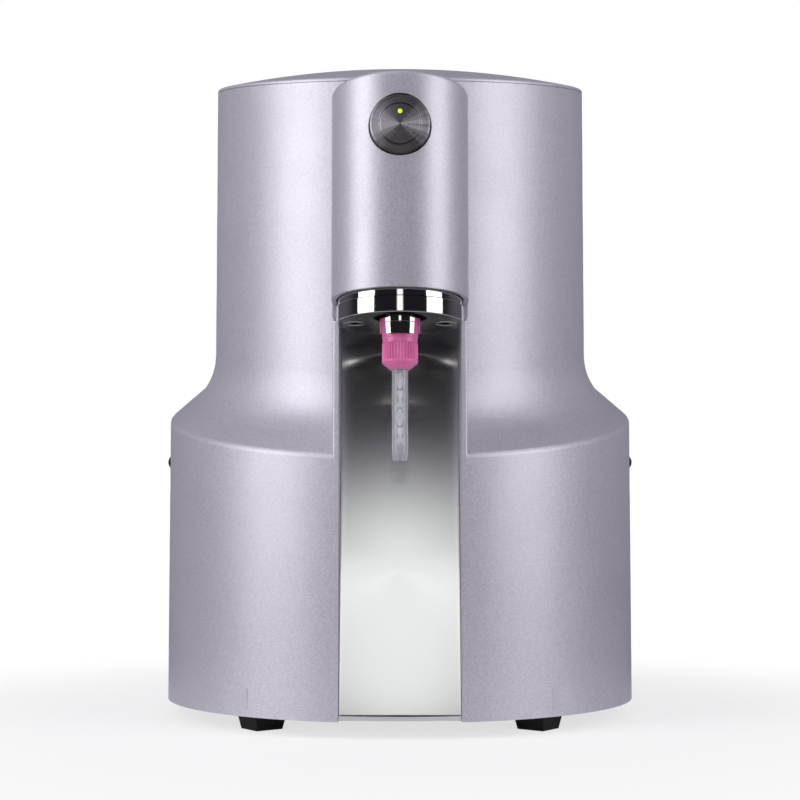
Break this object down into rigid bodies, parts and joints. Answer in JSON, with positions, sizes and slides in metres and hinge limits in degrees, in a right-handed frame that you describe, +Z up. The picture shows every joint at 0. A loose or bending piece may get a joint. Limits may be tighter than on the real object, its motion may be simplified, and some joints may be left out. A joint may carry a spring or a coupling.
{
  "type": "silicone dispensing machine",
  "caption": "Bench machine that pumps two-part duplicating silicone from tanks under its lid through a twist-on mixing tip at a push of its button.",
  "frame": {"origin": "centre of the bounding box's base, on the bench surface under the feet", "axes": "+Z up, -Y towards the operator (nose and splash plate), +X to the machine's left hand, the viewer's right"},
  "size_m": [0.2952, 0.327, 0.4476],
  "materials": {
    "housing_paint": "satin metallic lilac-silver paint",
    "splash_steel": "vertically brushed stainless steel",
    "polished_nickel": "polished nickel plate",
    "bezel_steel": "circular brushed and turned stainless steel",
    "led_lens": "clear yellow-green lens",
    "black_plastic": "moulded black plastic",
    "black_screw": "black oxide",
    "black_rubber": "matte black rubber",
    "seal_rubber": "soft red silicone",
    "pink_plastic": "translucent pink plastic",
    "clear_plastic": "clear moulded plastic",
    "white_plastic": "natural white plastic",
    "tank_plastic": "milky polyethylene",
    "hose_plastic": "milky flexible hose",
    "pump_aluminium": "milled aluminium",
    "panel_paint": "fine textured grey paint",
    "gear_steel": "ground steel",
    "zinc_steel": "bright zinc-plated steel",
    "brass": "turned brass",
    "board_green": "green board with black parts"
  },
  "bodies": {
    "root": {"base_plate": "zinc_steel", "bayonet_socket": "polished_nickel", "board_standoffs": "zinc_steel", "button_bezel": "bezel_steel", "button_gasket": "black_rubber", "button_housing": "black_plastic", "button_nut": "zinc_steel", "control_board": "board_green", "deck_posts": "zinc_steel", "drive_frame": "zinc_steel", "feed_hoses": "hose_plastic", "flange_screws": "polished_nickel", "foot_screws": "zinc_steel", "front_shell": "housing_paint", "fuse_holder": "black_plastic", "gear_motor": "zinc_steel", "head_plate": "pump_aluminium", "hinge_leaf": "zinc_steel", "hinge_pin": "zinc_steel", "hose_fittings": "brass", "idler_pins": "gear_steel", "inlet_contacts": "brass", "nose_cover": "housing_paint", "outlet_block": "pump_aluminium", "outlet_flange": "polished_nickel", "panel_screws": "black_screw", "power_inlet": "black_plastic", "power_supply": "pump_aluminium", "pump_body_a": "pump_aluminium", "pump_body_b": "pump_aluminium", "pump_covers": "pump_aluminium", "pump_screws": "zinc_steel", "rear_panel": "panel_paint", "rubber_feet": "black_rubber", "side_brackets": "zinc_steel", "side_screws": "black_screw", "splash_plate": "splash_steel", "supply_hoses": "hose_plastic", "switch_frame": "black_plastic", "tank_a": "tank_plastic", "tank_b": "tank_plastic", "tank_deck": "zinc_steel", "tank_seals": "seal_rubber"},
    "lid": {"top_lid": "housing_paint", "lid_leaf": "zinc_steel"},
    "button": {"button_cap": "bezel_steel", "button_led": "led_lens"},
    "mixing_tip": {"mixer_collar": "pink_plastic", "mixer_tube": "clear_plastic", "mixer_element": "white_plastic"},
    "rocker": {"switch_rocker": "black_plastic"},
    "drawer": {"fuse_drawer": "black_plastic"},
    "tank_cap_a": {"tank_lid_a": "tank_plastic"},
    "tank_cap_b": {"tank_lid_b": "tank_plastic"},
    "pump_drive": {"pump_shaft": "gear_steel", "shaft_gear": "gear_steel", "pump_gears": "gear_steel"},
    "idler_a": {"idler_gear_a": "gear_steel"},
    "idler_b": {"idler_gear_b": "gear_steel"},
    "pinion": {"motor_pinion": "gear_steel"}
  },
  "joints": [
    {"name": "lid_hinge", "type": "hinge", "parent": "root", "child": "lid", "pos_m": [0, 0.15947, 0.43237], "axis": [-1, 0, 0], "range_deg": [0, 100]},
    {"name": "button_press", "type": "slide", "parent": "root", "child": "button", "axis": [0, 1, 0], "range_m": [0, 0.0015], "stiffness_N_per_m": 1500},
    {"name": "tip_twist", "type": "hinge", "parent": "root", "child": "mixing_tip", "pos_m": [0, -0.14153, 0.204], "axis": [0, 0, 1], "range_deg": [0, 45]},
    {"name": "switch_rock", "type": "hinge", "parent": "root", "child": "rocker", "pos_m": [0.07, 0.14897, 0.101], "axis": [1, 0, 0], "range_deg": [0, 14]},
    {"name": "fuse_drawer_slide", "type": "slide", "parent": "root", "child": "drawer", "axis": [0, 1, 0], "range_m": [0, 0.018]},
    {"name": "tank_cap_a_twist", "type": "hinge", "parent": "root", "child": "tank_cap_a", "pos_m": [-0.054, 0.07847, 0.375], "axis": [0, 0, 1], "range_deg": [0, 60]},
    {"name": "tank_cap_b_twist", "type": "hinge", "parent": "root", "child": "tank_cap_b", "pos_m": [0.054, 0.07847, 0.375], "axis": [0, 0, 1], "range_deg": [0, 60]},
    {"name": "pump_spin", "type": "hinge", "parent": "root", "child": "pump_drive", "pos_m": [0, 0.00347, 0.109], "axis": [1, 0, 0], "continuous": true},
    {"name": "idler_a_spin", "type": "hinge", "parent": "root", "child": "idler_a", "pos_m": [-0.054, 0.00347, 0.127], "axis": [1, 0, 0], "continuous": true},
    {"name": "idler_b_spin", "type": "hinge", "parent": "root", "child": "idler_b", "pos_m": [0.054, 0.00347, 0.127], "axis": [1, 0, 0], "continuous": true},
    {"name": "pinion_spin", "type": "hinge", "parent": "root", "child": "pinion", "pos_m": [0, 0.00347, 0.077], "axis": [1, 0, 0], "continuous": true}
  ],
  "couplings": [
    {"joint": "idler_a_spin", "follows": "pump_spin", "ratio": -1},
    {"joint": "idler_b_spin", "follows": "pump_spin", "ratio": -1},
    {"joint": "pinion_spin", "follows": "pump_spin", "ratio": -3}
  ]
}
